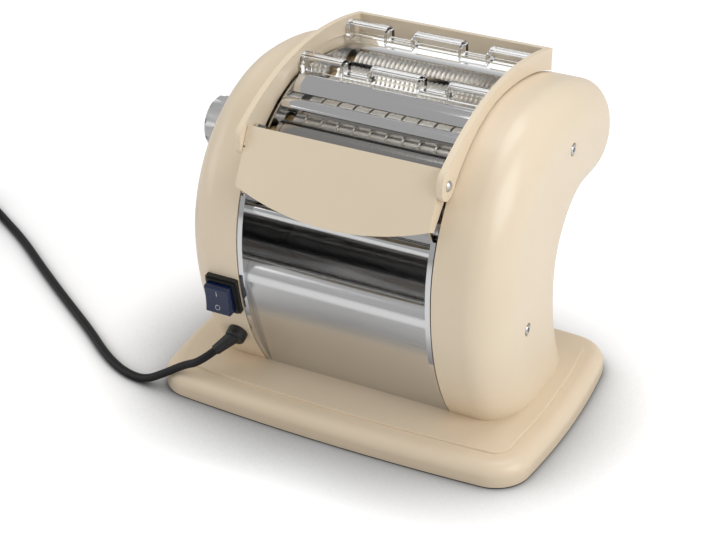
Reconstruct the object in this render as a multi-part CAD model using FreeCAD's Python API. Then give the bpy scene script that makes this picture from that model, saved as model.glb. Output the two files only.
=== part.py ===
import FreeCAD, Part
import math
import os

os.makedirs("parts", exist_ok=True)

# Electric pasta maker, millimetres. X runs to the right seen from the front, Y to the back, Z up.
# The origin is the middle of the base, on the surface that the machine stands on.

# Side profile of the body, in the Y-Z plane
base_top = 21.3
crown_y = 22.0
crown_z = 142.0
crown_r = 115.0
foot_front_y = -53.2
foot_rear_y = 76.0
lobe_y = 112.0
lobe_z = 194.0
lobe_r = 42.0
waist_y = 47.5
waist_r = 40.0

# Side covers
cover_wall = 2.5
cover_inner_x = 80.7
rim_end_x = 104.0
shoulder_depth = 28.0
shoulder_inset = 38.0
shoulder_steps = 6
cover_flange = 9.0
fit_gap = 0.3
left_cap_drop = 12.0

# Chrome side plates and what spans between them
plate_inner_x = 75.8
plate_wall = 1.5
plate_inset = 7.5
strip_wall = 1.2
strip_top_z = 184.2
strip_gap = 0.9
sheet = 1.2

# Rolls
smooth_r = 13.2
cutter_r = 12.25
roll_half = 72.0
shaft_r = 4.0
run_gap = 0.05
bush_r = 6.5
bush_flange_r = 8.5
rear_smooth = (-37.5, 214.0)
smooth_spacing = 27.0
smooth_angle = 224.0
smooth_travel = 2.4
wide_front = (-11.5, 212.0)
cutter_spacing = 24.0
wide_rise = 1.5
narrow_front = (39.6, 221.0)
wide_pitch = 13.6
disc_half = 0.7
wide_count = 11
groove_depth = 2.6
ring_play = 0.2
narrow_pitch = 4.0
narrow_depth = 1.9

# Gears, outside the right side plate
module = 2.0
pair_x = 84.5
second_x = 92.0
drive_x = 99.5
slow_x = 107.0
fast_x = 113.5
gear_width = 5.6
drive_teeth = 10
main_teeth = 30
idler_teeth = 24
pair_teeth = 12
first_teeth = 35
pinion_teeth = 8
first_axis = (-38.0, 107.0)
motor_axis = (-34.0, 64.2)
axle_r = 3.0
carrier_r = 9.5
carrier_wall = 2.4
carrier_bar = (-75.0, 190.0)
cam_r = 12.4
bar_r = 3.0

# Motor
motor_r = 29.0
motor_half = 46.0
motor_x = -12.0

# Hinged guard
rivet = (-73.5, 225.5)
rivet_r = 2.0
arm_inner_x = 78.9
arm_wall = 4.6
arm_apex = (33.0, 268.7)
arm_front_r = 222.0
arm_rear_r = 325.0
arm_lift = 1.2
bar_front_y = 108.0
bar_back_y = 116.7

# Front panel
panel_low = (-94.4, 197.3)
panel_top = (-73.5, 237.8)
panel_sag = 13.5
panel_half = 78.6
flange_top_depth = 18.0
flange_low_depth = 9.0
flange_length = 29.0

# Base
base_half_x = 161.5
base_half_y = 108.5
base_bow_x = 9.0
base_bow_y = 7.0
base_corner_r = 30.0
base_skirt_z = 9.0
base_lift = 1.0
base_wall = 2.5
plateau_inset = 17.0
plateau_step = 1.8
foot_r = 9.0
foot_x = 128.0
foot_y = 78.0

# Controls on the left cover
knob_axis = (4.0, 192.0)
knob_r = 21.4
knob_x = 134.0
knob_depth = 20.0
knob_lobes = 8
flute_r = 7.6
switch_x = 95.0
switch_z = 98.6
switch_half_x = 13.6
switch_half_z = 16.2
rocker_half = 10.2
rocker_high = 12.2
rocker_in = -3.0
rocker_out = 13.0
rocker_pin_depth = 3.0
rocker_tilt = 7.0
collar_out = 5.5
gland_x = 93.6
gland_z = 55.4
gland_r = 8.2
gland_reach = 9.0

# Mains cord
cord_d = 6.5
cord_reach = 16.0
coil_entry = (-470.0, 90.0)
coil_r = 44.0
coil_pitch = 7.1
coil_in = 2.25
coil_out = 1.75
coil_layer = 7.1
plug_lead = 27.0

# Cover screws and what they hold
right_screws = [(42.9, 213.9), (-30.9, 97.5)]
screw_head_r = 4.2
screw_recess_r = 5.2
screw_r = 2.0
recess_depth = 1.6
screw_length = 11.0
post_r = 4.0
pillars = [(80.0, 205.0), (-2.0, 77.8), (-70.0, 165.0)]
gear_plate_x = 121.0

# Floor plate under the base
floor_gap = 0.3
floor_wall = 1.5
floor_z = 2.0
boss_r = 5.0

# Rods and slots of the side plates
tie_rod_front = (-76.0, 171.0)
tie_rods = [(18.0, 50.0), (18.0, 100.0), (112.0, 205.0)]
tie_front_r = 5.5
tie_r = 4.0
ear_gap = 0.4
slot_gap = 0.1
tab_depth = 14.0
motor_boss_r = 11.0

# Hinge of the guard and its clear channels
hinge_r = 11.2
lobe_start_y = -62.6
head_r = 4.2
clear_wall = 3.0
clear_depth = 15.0
clear_drop = 8.5
clear_high = 20.0
clear_low = 44.0
clear_round = 6.0
front_clear_y = 14.0
rear_clear_y = 89.0
clear_top = 262.0

# Rear sheets
waist_in = 2.0
hood_start = 74.9
lip_angle = 76.3

# Small parts of the drive
bush_flange = 1.6
hub_r = 6.0
washer_r = 5.0
rotor_r = 4.0
saddle_half = 24.0
saddle_reach = 11.0
grip = 4.0
hook_gap = 0.3
collar_depth = 0.6

# Rocker switch's bezel and pivot
bezel_lip = 3.2
rocker_depth = 9.0
pivot_r = 1.5

# Mains plug
plug_neck = 16.0
plug_length = 34.0
plug_width = 34.0
pin_r = 2.0
pin_length = 19.0
pin_spread = 9.5


def V(x, y, z):
    return FreeCAD.Vector(x, y, z)


def at(x, place):
    return V(x, place[0], place[1])


def polar(centre, radius, degrees):
    a = math.radians(degrees)
    return (centre[0] + radius * math.cos(a), centre[1] + radius * math.sin(a))


def save(node, *solids):
    shape = solids[0] if len(solids) == 1 else Part.makeCompound(list(solids))
    if not shape.isValid():
        print("invalid", node)
    shape.exportStep("parts/" + node + ".step")


def mirrored(shape):
    return shape.mirror(V(0, 0, 0), V(1, 0, 0))


def rod(x0, x1, place, radius):
    return Part.makeCylinder(radius, x1 - x0, at(x0, place), V(1, 0, 0))


def tube(x0, x1, place, outer, inner):
    return rod(x0, x1, place, outer).cut(rod(x0, x1, place, inner))


def block(x0, x1, y0, y1, z0, z1):
    return Part.makeBox(x1 - x0, y1 - y0, z1 - z0, V(x0, y0, z0))


def arc(x, centre, radius, a0, a1):
    ends = [at(x, polar(centre, radius, a)) for a in (a0, (a0 + a1) / 2, a1)]
    return Part.Arc(*ends).toShape()


def line(x, p, q):
    return Part.makeLine(at(x, p), at(x, q))


def plate(x0, x1, points):
    """A flat plate between two X planes, from a closed polygon of (Y, Z) points."""
    wire = Part.makePolygon([at(x0, p) for p in points + points[:1]])
    return Part.Face(wire).extrude(V(x1 - x0, 0, 0))


def trace(x, start, *steps):
    """An open wire in the plane X = x: a step is a point, or a pair of points for an arc."""
    edges = []
    for step in steps:
        if isinstance(step[0], tuple):
            edges.append(Part.Arc(at(x, start), at(x, step[0]), at(x, step[1])).toShape())
            start = step[1]
        else:
            edges.append(line(x, start, step))
            start = step
    return Part.Wire(edges)


def bent(x0, x1, wall, start, *steps):
    """A bent sheet between two X planes. With Y to the right and Z up, it lies right of its path."""
    face = trace(x0, start, *steps).makeOffset2D(wall, 2, True, True, True)
    return face.extrude(V(x1 - x0, 0, 0))


def outline(x0, x1, start, *steps):
    """A plate between two X planes with straight and round stretches in its closed outline."""
    return Part.Face(trace(x0, start, *steps)).extrude(V(x1 - x0, 0, 0))


# Radii of the profile's long arcs, from the points they pass
front_edge_y = crown_y - crown_r


def rim_radius(reach, height):
    """Radius of an arc that stands upright at a height and has run inwards by a reach at the base."""
    return (reach ** 2 + height ** 2) / (2 * reach)


low_r = rim_radius(foot_front_y - front_edge_y, crown_z - base_top)
low_centre = (front_edge_y + low_r, crown_z)
rise = crown_z + crown_r - lobe_z
top_r = ((lobe_y - crown_y) ** 2 + rise ** 2 - lobe_r ** 2) / (2 * (rise - lobe_r))
top_centre = (crown_y, crown_z + crown_r - top_r)
lobe_angle = math.degrees(math.atan2(lobe_z - top_centre[1], lobe_y - top_centre[0]))
waist_z = lobe_z - lobe_r - waist_r
back_r = rim_radius(foot_rear_y - waist_y, waist_z - base_top)
back_centre = (waist_y + back_r, waist_z)


def back_angle(radius):
    return 180 + math.degrees(math.asin((waist_z - base_top) / radius))


def body_wire(x, inset, drop=0.0):
    """The side profile, drawn in by the same amount all round, standing on the base. Its round
    tops can sit lower by a drop."""
    height = crown_z - drop - base_top
    back_height = waist_z - drop - base_top
    front = rim_radius(foot_front_y - front_edge_y, height) - inset
    rear = rim_radius(foot_rear_y - waist_y, back_height) + inset
    low = (front_edge_y + front + inset, crown_z - drop)
    back = (waist_y + rear - inset, waist_z - drop)
    crown = (crown_y, crown_z - drop)
    top = (crown_y, top_centre[1] - drop)
    lobe = (lobe_y, lobe_z - drop)
    low_end = 180 + math.degrees(math.asin(height / front))
    back_end = 180 + math.degrees(math.asin(back_height / rear))
    edges = [
        arc(x, low, front, low_end, 180),
        arc(x, crown, crown_r - inset, 180, 90),
        arc(x, top, top_r - inset, 90, lobe_angle),
        arc(x, lobe, lobe_r - inset, lobe_angle, -90),
        line(x, (lobe_y, lobe[1] - lobe_r + inset), (waist_y + waist_r, lobe[1] - lobe_r + inset)),
        arc(x, (waist_y + waist_r, back[1]), waist_r + inset, 90, 180),
        arc(x, back, rear, 180, back_end),
        line(x, polar(back, rear, back_end), polar(low, front, low_end)),
    ]
    return Part.Wire(edges)


cap_x = rim_end_x + shoulder_depth


def body_prism(x0, x1, inset):
    return Part.Face(body_wire(x0, inset)).extrude(V(x1 - x0, 0, 0))


def body_form(x0, inset, drop=0.0):
    """Rim and rounded shoulder of a side cover, as a solid. The cap can sit lower than the rim."""
    depth = shoulder_depth - inset
    reach = shoulder_inset - inset
    wires = []
    for step in range(shoulder_steps + 1):
        a = math.pi / 2 * step / shoulder_steps
        share = 1 - math.cos(a)
        wires.append(body_wire(rim_end_x + depth * math.sin(a), inset + reach * share, drop * share))
    shoulder = Part.makeLoft(wires, True, False)
    return body_prism(x0, rim_end_x, inset).fuse(shoulder)


def front_frame(z):
    """Point on the front rim at a height, with the outward normal and the upward tangent there."""
    a = math.radians(180 + math.degrees(math.asin((crown_z - z) / low_r)))
    normal = (math.cos(a), math.sin(a))
    place = (low_centre[0] + low_r * normal[0], low_centre[1] + low_r * normal[1])
    return place, normal, (normal[1], -normal[0])


def front_box(x0, x1, z, t0, t1, n0, n1):
    """A block on the front rim: t runs up along the rim and n out of it."""
    place, normal, up = front_frame(z)
    corners = []
    for t, n in ((t0, n0), (t1, n0), (t1, n1), (t0, n1)):
        corners.append((place[0] + t * up[0] + n * normal[0], place[1] + t * up[1] + n * normal[1]))
    return plate(x0, x1, corners)


# Places of the rolls and gears
def meet(p, q, rp, rq, side):
    """The point at distance rp from p and rq from q, on the given side of the line p to q."""
    dy, dz = q[0] - p[0], q[1] - p[1]
    d = math.hypot(dy, dz)
    a = (rp * rp - rq * rq + d * d) / (2 * d)
    h = math.sqrt(max(rp * rp - a * a, 0)) * side
    return (p[0] + a * dy / d - h * dz / d, p[1] + a * dz / d + h * dy / d)


front_smooth = polar(rear_smooth, smooth_spacing, smooth_angle)
wide_rear = (wide_front[0] + math.sqrt(cutter_spacing ** 2 - wide_rise ** 2), wide_front[1] + wide_rise)
narrow_rear = (narrow_front[0] + cutter_spacing, narrow_front[1])
drive_pitch = module * drive_teeth / 2
main_pitch = module * main_teeth / 2
idler_pitch = module * idler_teeth / 2
main_axis = meet(rear_smooth, wide_rear, main_pitch + drive_pitch, main_pitch + drive_pitch, -1)
idler_axis = meet(main_axis, narrow_front, main_pitch + idler_pitch, idler_pitch + drive_pitch, -1)
second_axis = meet(first_axis, main_axis, main_pitch + drive_pitch, main_pitch + drive_pitch, 1)


def gear(x0, width, place, size, teeth, phase, bore):
    """A spur gear with straight-sided teeth, tooth 0 centred on the phase angle."""
    pitch = size * teeth / 2
    points = []
    for tooth in range(teeth):
        middle = phase + 360.0 * tooth / teeth
        share = 360.0 / teeth
        for radius, turn in ((pitch - 1.15 * size, -0.33), (pitch + 0.85 * size, -0.11),
                             (pitch + 0.85 * size, 0.11), (pitch - 1.15 * size, 0.33)):
            points.append(polar(place, radius, middle + turn * share))
    return plate(x0, x0 + width, points).cut(rod(x0, x0 + width, place, bore))


def mesh_phase(p, phase, teeth, q, other):
    """Phase of a gear at q that meshes with the gear at p."""
    toward = math.degrees(math.atan2(q[1] - p[1], q[0] - p[0]))
    return toward + 180 - (teeth * (phase - toward) + 180) / other


# Side covers
def cover_shell(drop):
    shell = body_form(cover_inner_x, 0, drop)
    shell = shell.cut(body_form(cover_inner_x + cover_wall, cover_wall, drop))
    return shell.cut(body_prism(cover_inner_x - 1, cover_inner_x + cover_wall + 1, cover_flange))


left_screws = [(place[0], place[1] - left_cap_drop) for place in right_screws]


def screw_pocket(place):
    return rod(cap_x - recess_depth, cap_x + 1, place, screw_recess_r).fuse(
        rod(cap_x - cover_wall - 1, cap_x, place, screw_r + 0.2))


def cover_screw(place):
    head = rod(cap_x - recess_depth, cap_x - recess_depth + 2.2, place, screw_head_r)
    head = head.makeChamfer(0.7, [e for e in head.Edges if e.BoundBox.XMin > cap_x - 1])
    socket = Part.makePolygon([at(cap_x - 0.6, polar(place, 2.0, a)) for a in range(0, 361, 60)])
    head = head.cut(Part.Face(socket).extrude(V(3, 0, 0)))
    return head.fuse(rod(cap_x - screw_length, cap_x - recess_depth, place, screw_r))


right = cover_shell(0.0)
for place in right_screws:
    right = right.cut(screw_pocket(place))
save("right_cover", right)

left = mirrored(cover_shell(left_cap_drop))
for place in left_screws:
    left = left.cut(mirrored(screw_pocket(place)))
left = left.cut(rod(-cap_x - 2, -cap_x + cover_wall + 2, knob_axis, 6.5))
left = left.cut(front_box(-switch_x - 12.2, -switch_x + 12.2, switch_z, -14.6, 14.6, -11, 4))
gland_place, gland_normal, gland_up = front_frame(gland_z)
gland_at = V(-gland_x, gland_place[0], gland_place[1])
gland_out = V(0, gland_normal[0], gland_normal[1])
left = left.cut(Part.makeCylinder(6.2, 12, gland_at - gland_out * 8, gland_out))
save("left_cover", left)
screws = [cover_screw(place) for place in right_screws]
save("cover_screws", *(screws + [mirrored(cover_screw(place)) for place in left_screws]))


# Base: a hollow plinth with a raised plateau, closed below by a floor plate
side_bow_r = (base_half_y ** 2 + base_bow_x ** 2) / (2 * base_bow_x)
front_bow_r = (base_half_x ** 2 + base_bow_y ** 2) / (2 * base_bow_y)


def base_wire(z, inset):
    """The plinth's outline: four bowed sides with round corners, drawn in all round."""
    side = (base_half_x - side_bow_r, 0.0)
    front = (0.0, front_bow_r - base_half_y)
    corner = meet(side, front, side_bow_r - base_corner_r, front_bow_r - base_corner_r, -1)
    to_side = math.degrees(math.atan2(corner[1] - side[1], corner[0] - side[0]))
    to_front = math.degrees(math.atan2(corner[1] - front[1], corner[0] - front[0]))

    def spot(centre, radius, a):
        x, y = polar(centre, radius, a)
        return V(x, y, z)

    right = [spot(side, side_bow_r - inset, a) for a in (to_side, 0, -to_side)]
    turn = [spot(corner, base_corner_r - inset, a) for a in (to_front, (to_front + to_side) / 2, to_side)]
    front_arc = [spot(front, front_bow_r - inset, a) for a in (-180 - to_front, -90, to_front)]
    edges = [Part.Arc(*front_arc).toShape(), Part.Arc(*turn).toShape(), Part.Arc(*right).toShape()]
    flip_y = FreeCAD.Matrix(1, 0, 0, 0, 0, -1, 0, 0, 0, 0, 1, 0, 0, 0, 0, 1)
    flip_x = FreeCAD.Matrix(-1, 0, 0, 0, 0, 1, 0, 0, 0, 0, 1, 0, 0, 0, 0, 1)
    edges.append(edges[1].transformGeometry(flip_y))
    edges.append(edges[0].transformGeometry(flip_y))
    edges.append(edges[2].transformGeometry(flip_x))
    edges.append(edges[1].transformGeometry(flip_x))
    edges.append(edges[3].transformGeometry(flip_x))
    return Part.Wire(Part.__sortEdges__(edges))


def slab(z0, z1, inset):
    return Part.Face(base_wire(z0, inset)).extrude(V(0, 0, z1 - z0))


def rounded_top(shape, z, radius):
    rim = [e for e in shape.Edges if abs(e.BoundBox.ZMin - z) < 0.01 and abs(e.BoundBox.ZMax - z) < 0.01]
    return shape.makeFillet(radius, rim)


shoulder_z = base_top - plateau_step
round_r = shoulder_z - base_skirt_z
plinth = rounded_top(slab(base_lift, shoulder_z, 0), shoulder_z, round_r)
plateau = rounded_top(slab(shoulder_z - 1, base_top, plateau_inset), base_top, plateau_step / 3)
inside = rounded_top(slab(0, shoulder_z - base_wall, base_wall), shoulder_z - base_wall, round_r - base_wall)
base_shell = plinth.fuse(plateau).cut(inside)
for sx in (-1, 1):
    for sy in (-1, 1):
        boss = Part.makeCylinder(boss_r, shoulder_z - base_wall - floor_z - floor_wall,
                                 V(sx * foot_x, sy * foot_y, floor_z + floor_wall))
        base_shell = base_shell.fuse(boss)
save("base_plate", base_shell)
save("base_floor", slab(floor_z, floor_z + floor_wall, base_wall + floor_gap))
feet = []
for sx in (-1, 1):
    for sy in (-1, 1):
        pad = Part.makeCylinder(foot_r, floor_z, V(sx * foot_x, sy * foot_y, 0))
        feet.append(pad.makeChamfer(0.5, [e for e in pad.Edges if e.BoundBox.ZMax < 0.1]))
save("rubber_feet", *feet)

# Chrome side plates: standing plates that carry the rolls, with a front flange and a forward ear
plate_outer_x = plate_inner_x + plate_wall
low_t = math.hypot(panel_top[0] - panel_low[0], panel_top[1] - panel_low[1])
panel_dir = ((panel_top[0] - panel_low[0]) / low_t, (panel_top[1] - panel_low[1]) / low_t)
panel_out = (-panel_dir[1], panel_dir[0])


def on_panel(t, n):
    """(Y, Z) of a point t up along the front panel and n out of its face."""
    return (panel_low[0] + t * panel_dir[0] + n * panel_out[0],
            panel_low[1] + t * panel_dir[1] + n * panel_out[1])


carry_dir = polar((0, 0), 1.0, smooth_angle)


def slide_slot(x0, x1, place, radius):
    """A slot for a round part that moves with the front smooth roll."""
    far = smooth_travel + slot_gap
    first = (place[0] - carry_dir[0] * slot_gap, place[1] - carry_dir[1] * slot_gap)
    last = (place[0] + carry_dir[0] * far, place[1] + carry_dir[1] * far)
    side = polar((0, 0), radius, smooth_angle + 90)
    box = plate(x0, x1, [(first[0] + side[0], first[1] + side[1]), (last[0] + side[0], last[1] + side[1]),
                         (last[0] - side[0], last[1] - side[1]), (first[0] - side[0], first[1] - side[1])])
    return rod(x0, x1, first, radius).fuse(rod(x0, x1, last, radius)).fuse(box)


fixed_rolls = [rear_smooth, wide_front, wide_rear, narrow_front, narrow_rear]


def side_plate():
    body = body_prism(plate_inner_x, plate_outer_x, plate_inset)
    front = body_prism(plate_inner_x, plate_outer_x, fit_gap)
    front = front.common(block(plate_inner_x, plate_outer_x, -100, -40, base_top, strip_top_z))
    ear = plate(plate_inner_x, plate_outer_x, [
        (-50, 176), (-84, strip_top_z - 1), on_panel(2, -sheet - ear_gap), on_panel(38, -sheet - ear_gap),
        (-62, 234), (-48, 226)])
    shape = body.fuse(front).fuse(ear)
    rim = body_prism(plate_inner_x, cover_inner_x, fit_gap)
    rim = rim.cut(body_prism(plate_inner_x, cover_inner_x, fit_gap + strip_wall))
    shape = shape.fuse(rim.common(block(plate_inner_x, cover_inner_x - strip_gap, -100, -45, base_top, strip_top_z)))
    tab = block(plate_inner_x - tab_depth, plate_inner_x, -36, 54, base_top, base_top + plate_wall)
    shape = shape.fuse(tab)
    for place in fixed_rolls:
        shape = shape.cut(rod(plate_inner_x - 1, plate_outer_x + 1, place, bush_r))
    shape = shape.cut(slide_slot(plate_inner_x - 1, plate_outer_x + 1, front_smooth, bush_r + slot_gap))
    shape = shape.cut(slide_slot(plate_inner_x - 1, plate_outer_x + 1, carrier_bar, bar_r + slot_gap))
    return shape.cut(rod(plate_inner_x - 1, plate_outer_x + 1, rivet, rivet_r))


side = side_plate()
right_side = side
left_side = mirrored(side)
for place in (main_axis, idler_axis, second_axis, first_axis):
    right_side = right_side.cut(rod(plate_inner_x - 1, plate_outer_x + 1, place, axle_r))
right_side = right_side.cut(rod(plate_inner_x - 1, plate_outer_x + 1, motor_axis, motor_boss_r))
left_side = left_side.cut(rod(-plate_outer_x - 1, -plate_inner_x + 1, knob_axis, shaft_r + run_gap))
for place in pillars:
    right_side = right_side.cut(rod(plate_inner_x - 1, plate_outer_x + 1, place, screw_r))
for place in left_screws:
    left_side = left_side.cut(rod(-plate_outer_x - 1, -plate_inner_x + 1, place, screw_r))
save("side_plate_right", right_side)
save("side_plate_left", left_side)

# Rods and posts
save("front_tie_rod", rod(-plate_inner_x, plate_inner_x, tie_rod_front, tie_front_r))
save("tie_rods", *[rod(-plate_inner_x, plate_inner_x, place, tie_r) for place in tie_rods])
gear_plate_end = gear_plate_x + plate_wall
posts = [tube(gear_plate_end, cap_x - cover_wall, place, post_r, screw_r) for place in right_screws]
posts += [mirrored(tube(plate_outer_x, cap_x - cover_wall, place, post_r, screw_r)) for place in left_screws]
posts += [tube(plate_outer_x, gear_plate_x, place, post_r, screw_r) for place in pillars]
save("cover_posts", *posts)

# Outer gear plate: stands on three pillars, steadies the first axle and takes the right cover's screws
gear_plate = plate(gear_plate_x, gear_plate_end, [
    (-73, 172), (-75, 158), (-46, 90), (-8, 68), (6, 72), (4, 90), (-14, 128), (30, 180), (84, 196), (90, 206),
    (82, 214), (46, 223), (34, 218), (-40, 172), (-66, 174)])
for place in right_screws + pillars:
    gear_plate = gear_plate.cut(rod(gear_plate_x - 1, gear_plate_end + 1, place, screw_r))
gear_plate = gear_plate.cut(rod(gear_plate_x - 1, gear_plate_end + 1, first_axis, axle_r))
save("gear_plate", gear_plate)

# Sheets between the side plates
inner = plate_inner_x - 0.1
front_chute = bent(
    -inner, inner, sheet, (-46, base_top), (foot_front_y + fit_gap, base_top),
    ((-73.1, 65.8), (-87.6, 113.0)), ((-84.6, 126.0), (-73.0, 131.0)), ((-54.0, 128.6), (-36.0, 120.6)),
    ((-20.5, 120.5), (-9.5, 136.0)), ((-8.0, 166.0), (-20.0, 195.5)))
save("front_chute", front_chute)
rear_arc_r = back_r + waist_in
rear_low = polar(back_centre, rear_arc_r, back_angle(rear_arc_r))
rear_mid = polar(back_centre, rear_arc_r, (back_angle(rear_arc_r) + 180) / 2)
rear_panel = bent(-inner, inner, -sheet, (56, base_top), (rear_low[0], base_top),
                  (rear_mid, (waist_y - waist_in, waist_z)), (waist_y - waist_in - 5, waist_z + 3))
save("rear_panel", rear_panel)
rear_chute = bent(-inner, inner, sheet, (-3.5, 182), ((0.5, 160), (14, 144)), (44, 122.5), (53, 119.5))
save("rear_chute", rear_chute)
hood_r = lobe_r - plate_inset
hood_top_r = top_r - plate_inset
hood = bent(-inner, inner, sheet,
            polar(top_centre, hood_top_r, hood_start),
            (polar(top_centre, hood_top_r, (hood_start + lobe_angle) / 2), polar(top_centre, hood_top_r, lobe_angle)),
            (polar((lobe_y, lobe_z), hood_r, 0), polar((lobe_y, lobe_z), hood_r, -62)))
save("rear_hood", hood)
guide_front = bent(-inner, inner, 1.0, (-22.8, 229.0), (-21.5, 239.5), ((-26.4, 239.2), (-29.8, 235.8)))
guide_middle = bent(-inner, inner, 1.0, (4.8, 240.0), (4.4, 246.6), ((2.4, 248.9), (-1.2, 248.4)),
                    ((-7.6, 245.4), (-12.8, 240.9)))
lip_top = polar(top_centre, hood_top_r, lip_angle)
guide_rear = bent(-inner, inner, sheet, (lip_top[0], 231.0), lip_top,
                  (polar(top_centre, hood_top_r, (lip_angle + hood_start) / 2),
                   polar(top_centre, hood_top_r, hood_start)))
infeed = bent(-inner, inner, 1.0, (-54.4, 212.0), (-53.4, 223.5), (-63.0, 222.0))
save("guide_front", guide_front)
save("guide_middle", guide_middle)
save("guide_rear", guide_rear)
save("infeed_guide", infeed)

# Front panel: a bent sheet whose lower edge bows down, with side flanges behind it
frame = FreeCAD.Matrix(1, 0, 0, 0,
                       0, panel_dir[0], panel_out[0], panel_low[0],
                       0, panel_dir[1], panel_out[1], panel_low[1],
                       0, 0, 0, 1)
sag = panel_sag / panel_dir[1]
lower = Part.Arc(V(-panel_half, 0, 0), V(0, -sag, 0), V(panel_half, 0, 0)).toShape()
upper = Part.makePolygon([V(panel_half, 0, 0), V(panel_half, low_t, 0), V(-panel_half, low_t, 0),
                          V(-panel_half, 0, 0)])
face = Part.Face(Part.Wire([lower] + upper.Edges))
panel = face.extrude(V(0, 0, -sheet))
for sx in (-1, 1):
    wall = Part.makePolygon([V(sx * plate_outer_x, 0, -sheet / 2), V(sx * plate_outer_x, 0, -flange_low_depth),
                             V(sx * plate_outer_x, flange_length, -flange_top_depth),
                             V(sx * plate_outer_x, flange_length, -sheet / 2),
                             V(sx * plate_outer_x, 0, -sheet / 2)])
    panel = panel.fuse(Part.Face(wall).extrude(V(sx * (panel_half - plate_outer_x), 0, 0)))
    slit = Part.makeBox(3, 1.2, 4, V(sx * panel_half - 1.5, flange_length, -2))
    panel = panel.cut(slit)
panel.transformShape(frame)
save("front_panel", panel)

# Hinged guard: two curved arms joined by a rear bar, riveted to the side plates at the front
arm_front_c = (arm_apex[0], arm_apex[1] - arm_front_r)
arm_rear_c = (arm_apex[0], arm_apex[1] - arm_rear_r)


def over(centre, radius, y):
    """Height of a round top at a given Y."""
    return centre[1] + math.sqrt(radius ** 2 - (y - centre[0]) ** 2)


lift_r = crown_r + arm_lift
lift_top_r = top_r + arm_lift
arm_outer_x = arm_inner_x + arm_wall


def arm_top(y):
    if y < arm_apex[0]:
        return (y, over(arm_front_c, arm_front_r, y))
    return (y, over(arm_rear_c, arm_rear_r, y))


def arm_under(y):
    if y < crown_y:
        return (y, over((crown_y, crown_z), lift_r, y))
    return (y, over(top_centre, lift_top_r, y))


def arm_plate(x0, x1):
    return outline(
        x0, x1, arm_top(-79.0), (arm_top(-25), arm_top(arm_apex[0])),
        (arm_top(75), arm_top(bar_back_y)), arm_under(bar_back_y),
        (arm_under(70), arm_under(crown_y)), (arm_under(-30), arm_under(lobe_start_y)),
        (polar(rivet, hinge_r, 250), polar(rivet, hinge_r, 172)), ((-83.6, 233.6), arm_top(-79.0)))


arm_r = arm_plate(arm_inner_x, arm_outer_x)
bar = arm_plate(-arm_inner_x, arm_inner_x)
bar = bar.common(block(-arm_inner_x, arm_inner_x, bar_front_y, bar_back_y + 1, 200, 300))
guard = arm_r.fuse(mirrored(arm_r)).fuse(bar)
for x in (-arm_outer_x - 1, arm_inner_x - 1):
    guard = guard.cut(rod(x, x + arm_wall + 2, rivet, rivet_r + run_gap))
save("guard_frame", guard)
pin = rod(plate_inner_x - 0.8, arm_outer_x + 0.2, rivet, rivet_r)
dome = Part.makeSphere(head_r * 1.25, at(arm_outer_x + 0.2 - head_r * 0.75, rivet), V(1, 0, 0), 0, 90, 360)
dome = dome.cut(rod(arm_outer_x - 9, arm_outer_x + 0.2, rivet, 9))
pin = pin.fuse(dome).fuse(rod(plate_inner_x - 1.6, plate_inner_x, rivet, 3.2))
save("hinge_rivets", pin, mirrored(pin))

# Clear guards: upside-down channels with lowered stretches, fixed between the arms
clear_end = arm_inner_x - 0.1


def arch(x0, x1, y, top, height):
    """One stretch of clear channel, open below, with round shoulders."""
    solid = block(x0, x1, y - clear_depth / 2, y + clear_depth / 2, top - height, top)
    ridge = [e for e in solid.Edges if e.BoundBox.ZMin > top - 0.01 and e.BoundBox.XLength > 1]
    solid = solid.makeFillet(clear_round, ridge)
    hollow = block(x0, x1, y - clear_depth / 2 + clear_wall, y + clear_depth / 2 - clear_wall,
                   top - height - 1, top - clear_wall)
    ridge = [e for e in hollow.Edges if e.BoundBox.ZMin > top - clear_wall - 0.01 and e.BoundBox.XLength > 1]
    return solid.cut(hollow.makeFillet(clear_round - clear_wall, ridge))


def clear_guard(y, top, height):
    shape = arch(-clear_high, clear_high, y, top, height)
    for sx in (-1, 1):
        x0, x1 = sorted((sx * clear_low, sx * clear_end))
        shape = shape.fuse(arch(x0, x1, y, top, height))
        x0, x1 = sorted((sx * clear_high, sx * clear_low))
        shape = shape.fuse(arch(x0, x1, y, top - clear_drop, height - clear_drop))
        for x in (clear_high, clear_low):
            step = block(sx * x - clear_wall / 2, sx * x + clear_wall / 2, y - clear_depth / 2 + 0.4,
                         y + clear_depth / 2 - 0.4, top - clear_drop - clear_wall, top - 3.6)
            shape = shape.fuse(step)
        cheek = block(sx * clear_end - clear_wall / 2 - sx * clear_wall / 2,
                      sx * clear_end + clear_wall / 2 - sx * clear_wall / 2,
                      y - clear_depth / 2 + 0.4, y + clear_depth / 2 - 0.4, top - height, top - 3.6)
        shape = shape.fuse(cheek)
    for x0 in (-arm_inner_x, plate_inner_x - 0.5):
        x1 = x0 + arm_inner_x - plate_inner_x + 0.5
        shape = shape.cut(body_prism(x0, x1, plate_inset - fit_gap))
    return shape


front_clear = clear_guard(front_clear_y, clear_top, 17.0)
rear_clear = clear_guard(rear_clear_y, clear_top - 0.6, 15.0)
save("clear_guard_front", front_clear)
save("clear_guard_rear", rear_clear)

# Rolls: each is one turned piece on its shaft
left_end = -plate_outer_x - 2.0


def turned(place, points):
    """A turned piece about the X axis through a place, from (x, radius) points."""
    loop = [(points[0][0], 0.0)] + points + [(points[-1][0], 0.0)]
    wire = Part.makePolygon([V(x, place[0], place[1] + r) for x, r in loop + loop[:1]])
    return Part.Face(wire).revolve(at(0, place), V(1, 0, 0), 360)


def journals(points, right_end):
    """Adds the shaft ends to a roll's outline."""
    return ([(left_end, shaft_r), (-roll_half, shaft_r)] + points
            + [(roll_half, shaft_r), (right_end, shaft_r)])


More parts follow.
